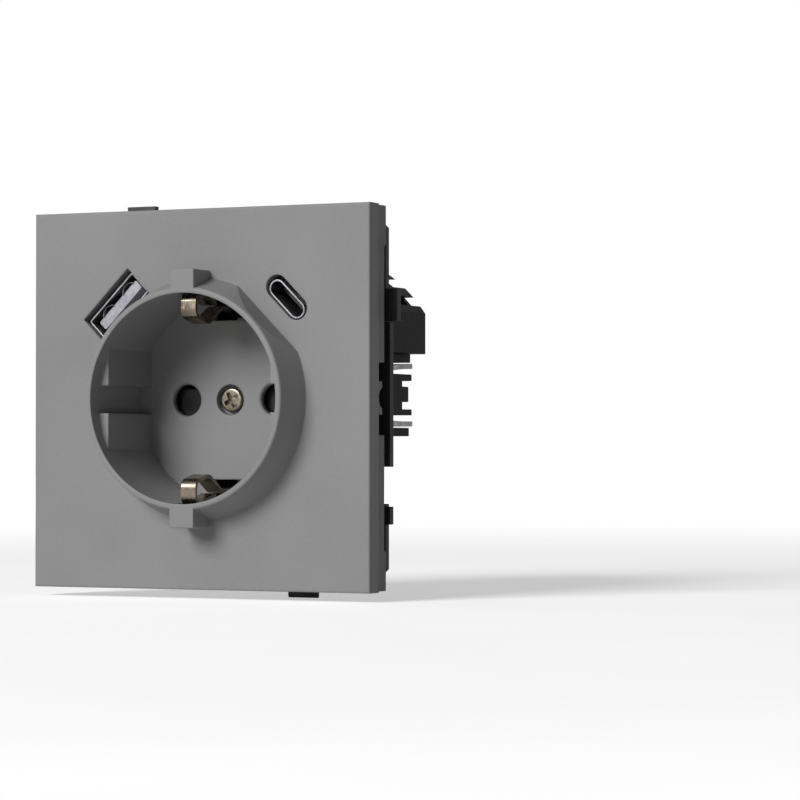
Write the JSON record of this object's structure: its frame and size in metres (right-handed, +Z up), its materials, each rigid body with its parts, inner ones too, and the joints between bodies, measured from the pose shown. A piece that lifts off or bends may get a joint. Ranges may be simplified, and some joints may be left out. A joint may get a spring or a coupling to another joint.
{
  "type": "usb wall socket",
  "caption": "Flush-mounted earthed wall socket with round collar, side earth clips, spreading claws, and USB-A and USB-C charging ports above the recess.",
  "frame": {"origin": "on the socket's axis, in the wall plane, which is the rear face of the support frame", "axes": "+X to the right seen from the front, +Y into the wall, +Z up"},
  "size_m": [0.074, 0.0533, 0.074],
  "materials": {
    "plate_grey": "satin metallic lacquer",
    "frame_grey": "fine matte",
    "dark_steel": "phosphated sheet with bare sheared edges",
    "white_plastic": "matte",
    "port_chrome": "bright nickel",
    "tongue_grey": "matte",
    "black_plastic": "fine eroded matte",
    "board_green": "lacquered",
    "core_dark": "sintered, with a taped winding",
    "can_aluminium": "satin",
    "spring_steel": "bright drawn",
    "strap_nickel": "nickel-plated, slightly warm",
    "zinc_steel": "bright zinc-plated",
    "contact_brass": "rolled strip",
    "bracket_grey": "satin"
  },
  "bodies": {
    "socket": {"cover_plate": "plate_grey", "backing_frame": "frame_grey", "support_frame": "dark_steel", "frame_rivets": "dark_steel", "port_holder": "white_plastic", "usb_a_shell": "port_chrome", "usb_a_tongue": "tongue_grey", "usb_c_shell": "port_chrome", "usb_c_tongue": "black_plastic", "port_board": "board_green", "usb_front_shell": "black_plastic", "usb_rear_cap": "black_plastic", "power_board": "board_green", "transformer": "core_dark", "capacitors": "can_aluminium", "contact_cover": "black_plastic", "contact_base": "black_plastic", "shutter_carrier": "black_plastic", "shutter_spring": "spring_steel", "earth_strap": "strap_nickel", "screw_nut": "zinc_steel", "cover_screw": "zinc_steel", "terminal_spring_earth": "spring_steel", "contact_right": "contact_brass", "contact_left": "contact_brass", "terminal_spring_right": "spring_steel", "terminal_spring_left": "spring_steel", "claw_bracket_right": "bracket_grey", "claw_bracket_left": "bracket_grey", "button_spring_right": "spring_steel", "button_spring_left": "spring_steel"},
    "shutter_arm": {"shutter": "black_plastic"},
    "claw_seat_right": {"claw_washer_right": "zinc_steel"},
    "claw_right": {"claw_right": "zinc_steel"},
    "claw_screw_right": {"claw_screw_right": "strap_nickel"},
    "button_right": {"release_button_right": "black_plastic"},
    "claw_seat_left": {"claw_washer_left": "zinc_steel"},
    "claw_left": {"claw_left": "zinc_steel"},
    "claw_screw_left": {"claw_screw_left": "strap_nickel"},
    "button_left": {"release_button_left": "black_plastic"}
  },
  "joints": [
    {"name": "shutter_turn", "type": "hinge", "parent": "socket", "child": "shutter_arm", "pos_m": [0, 0.0062, 0], "axis": [0, -1, 0], "range_deg": [0, 36], "stiffness_Nm_per_rad": 0.01, "deforming": ["shutter_spring"]},
    {"name": "claw_swing_right", "type": "hinge", "parent": "socket", "child": "claw_seat_right", "pos_m": [0.023, 0.0091, 0.0008], "axis": [0, 0, -1], "range_deg": [0, 19]},
    {"name": "claw_draw_right", "type": "slide", "parent": "claw_seat_right", "child": "claw_right", "axis": [0, -1, 0], "range_m": [0, 0.0016]},
    {"name": "claw_screw_turn_right", "type": "hinge", "parent": "claw_seat_right", "child": "claw_screw_right", "pos_m": [0.023, 0.0091, 0.0008], "axis": [0, 1, 0], "range_deg": [0, 960]},
    {"name": "release_button_right", "type": "slide", "parent": "socket", "child": "button_right", "axis": [0, -1, 0], "range_m": [0, 0.0008], "stiffness_N_per_m": 500, "deforming": ["button_spring_right"]},
    {"name": "claw_swing_left", "type": "hinge", "parent": "socket", "child": "claw_seat_left", "pos_m": [-0.023, 0.0091, 0.0008], "axis": [0, 0, 1], "range_deg": [0, 19]},
    {"name": "claw_draw_left", "type": "slide", "parent": "claw_seat_left", "child": "claw_left", "axis": [0, -1, 0], "range_m": [0, 0.0016]},
    {"name": "claw_screw_turn_left", "type": "hinge", "parent": "claw_seat_left", "child": "claw_screw_left", "pos_m": [-0.023, 0.0091, 0.0008], "axis": [0, 1, 0], "range_deg": [0, 960]},
    {"name": "release_button_left", "type": "slide", "parent": "socket", "child": "button_left", "axis": [0, -1, 0], "range_m": [0, 0.0008], "stiffness_N_per_m": 500, "deforming": ["button_spring_left"]}
  ],
  "couplings": [
    {"joint": "claw_swing_right", "follows": "claw_draw_right", "rad_per_m": 207.26},
    {"joint": "claw_screw_turn_right", "follows": "claw_draw_right", "rad_per_m": 10472},
    {"joint": "claw_swing_left", "follows": "claw_draw_left", "rad_per_m": 207.26},
    {"joint": "claw_screw_turn_left", "follows": "claw_draw_left", "rad_per_m": 10472}
  ]
}
